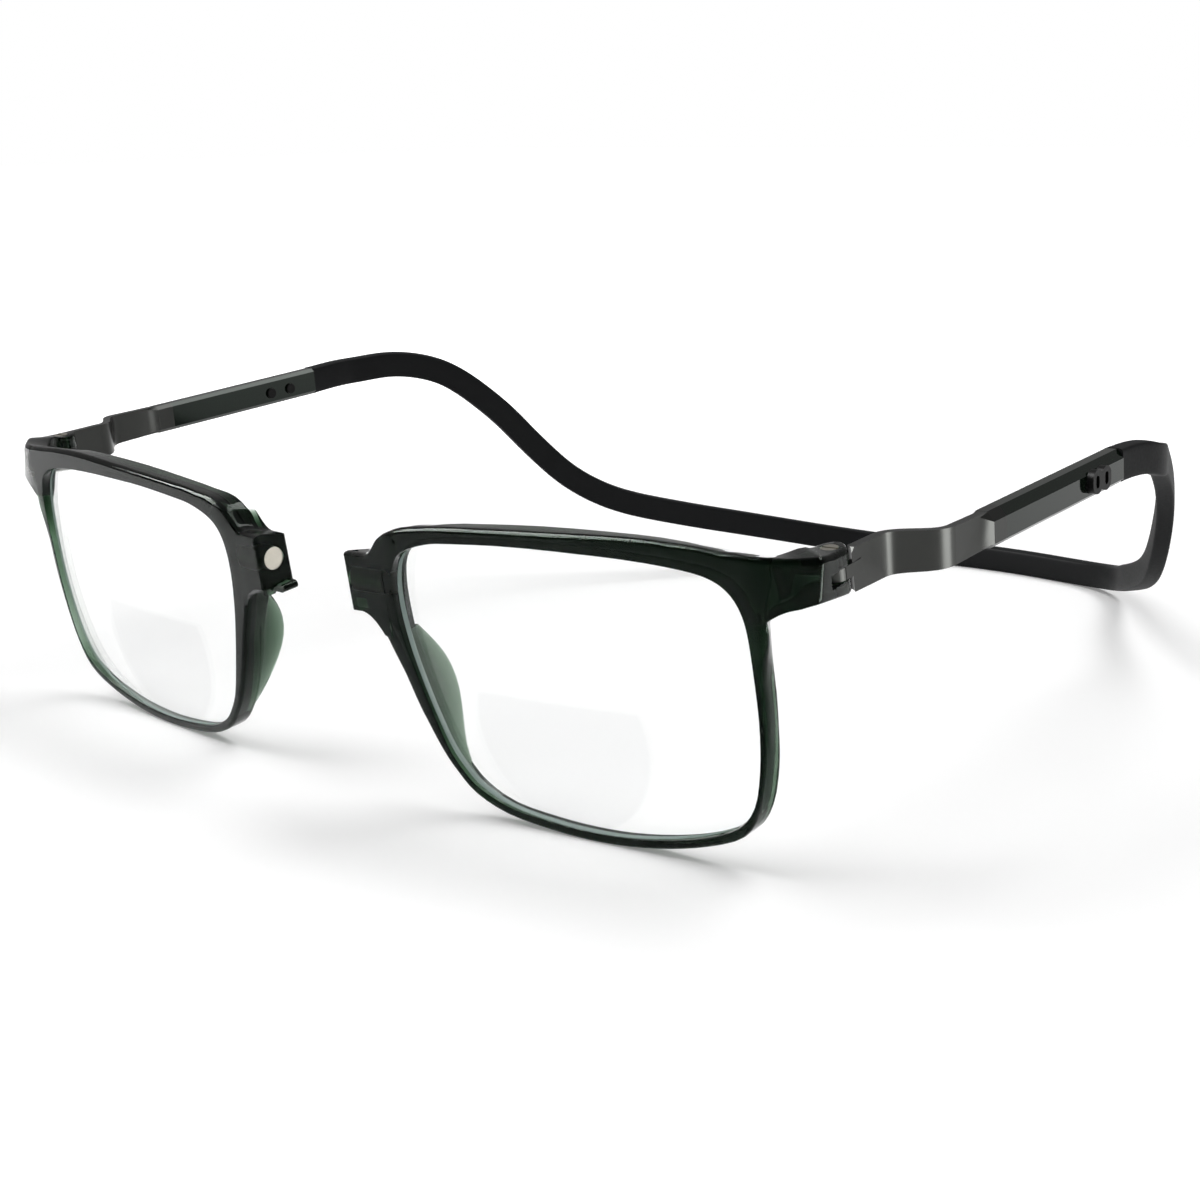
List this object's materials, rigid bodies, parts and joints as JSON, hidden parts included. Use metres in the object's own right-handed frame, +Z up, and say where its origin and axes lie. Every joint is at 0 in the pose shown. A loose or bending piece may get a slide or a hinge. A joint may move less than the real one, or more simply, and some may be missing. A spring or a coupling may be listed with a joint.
{
  "type": "front-closing bifocal glasses",
  "caption": "Bifocal reading glasses whose front parts at a magnetic nose bridge, with folding half fronts, telescoping temples and a flexible band round the back of the head.",
  "frame": {"origin": "middle of the outline on the ground, in the plane between the wearer's left and right", "axes": "+X towards the wearer's left, +Y from the lenses towards the back of the head, +Z up"},
  "size_m": [0.1546, 0.1678, 0.0434],
  "materials": {
    "frame_plastic": "polished translucent dark green",
    "lens_plastic": "clear, polished",
    "magnet_steel": "nickel plated",
    "screw_steel": "bright",
    "arm_metal": "gunmetal, satin gloss",
    "sleeve_plastic": "polished translucent dark green",
    "lock_plastic": "satin black",
    "band_plastic": "matte black, flexible"
  },
  "bodies": {
    "headband": {"headband": "band_plastic"},
    "temple_left": {"temple_sleeve_left": "sleeve_plastic", "spring_arm_left": "arm_metal", "slide_lock_left": "lock_plastic"},
    "temple_right": {"temple_sleeve_right": "sleeve_plastic", "spring_arm_right": "arm_metal", "slide_lock_right": "lock_plastic"},
    "front_left": {"front_half_left": "frame_plastic", "lens_left": "lens_plastic", "bridge_magnet_left": "magnet_steel", "hinge_screw_left": "screw_steel", "hinge_insert_left": "screw_steel"},
    "front_right": {"front_half_right": "frame_plastic", "lens_right": "lens_plastic", "bridge_magnet_right": "magnet_steel", "hinge_screw_right": "screw_steel", "hinge_insert_right": "screw_steel"}
  },
  "joints": [
    {"name": "slide_left", "type": "slide", "parent": "headband", "child": "temple_left", "axis": [0.033, -0.9952, -0.0924], "range_m": [0, 0.011]},
    {"name": "slide_right", "type": "slide", "parent": "headband", "child": "temple_right", "axis": [-0.033, -0.9952, -0.0924], "range_m": [0, 0.011]},
    {"name": "hinge_left", "type": "hinge", "parent": "temple_left", "child": "front_left", "pos_m": [0.06995, -0.06911, 0.03536], "axis": [0, 0.1685, -0.9857], "range_deg": [0, 90]},
    {"name": "hinge_right", "type": "hinge", "parent": "temple_right", "child": "front_right", "pos_m": [-0.06995, -0.06911, 0.03536], "axis": [0, -0.1685, 0.9857], "range_deg": [0, 90]}
  ]
}
